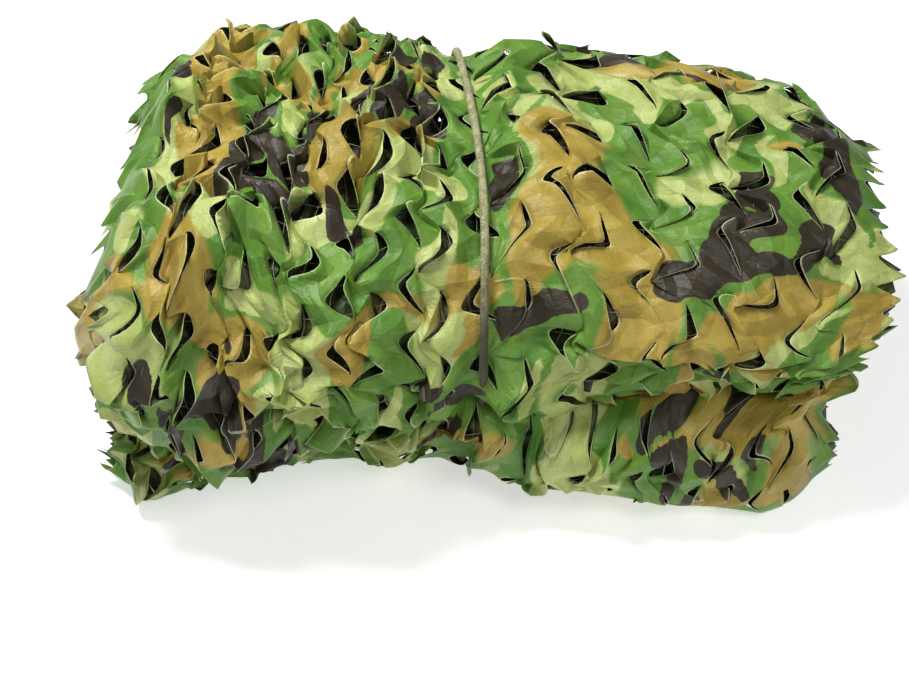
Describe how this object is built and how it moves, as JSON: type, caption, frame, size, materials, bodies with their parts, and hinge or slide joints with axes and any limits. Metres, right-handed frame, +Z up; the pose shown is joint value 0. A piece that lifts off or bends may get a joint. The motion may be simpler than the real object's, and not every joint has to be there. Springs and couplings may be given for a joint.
{
  "type": "camouflage netting",
  "caption": "Leaf-cut camouflage net folded back and forth into a loaf-shaped bundle and tied round its middle with a cord.",
  "frame": {"origin": "centre of the bundle's footprint, on the surface it rests on", "axes": "+X along the bundle and its folded edges, -Y towards the front with the two rounded folds, +Z up"},
  "size_m": [0.4906, 0.3442, 0.2187],
  "materials": {
    "net_cloth": "satin printed polyester",
    "tie_cord": "braided"
  },
  "bodies": {
    "root": {"net": "net_cloth", "tie_cord": "tie_cord"}
  },
  "joints": []
}
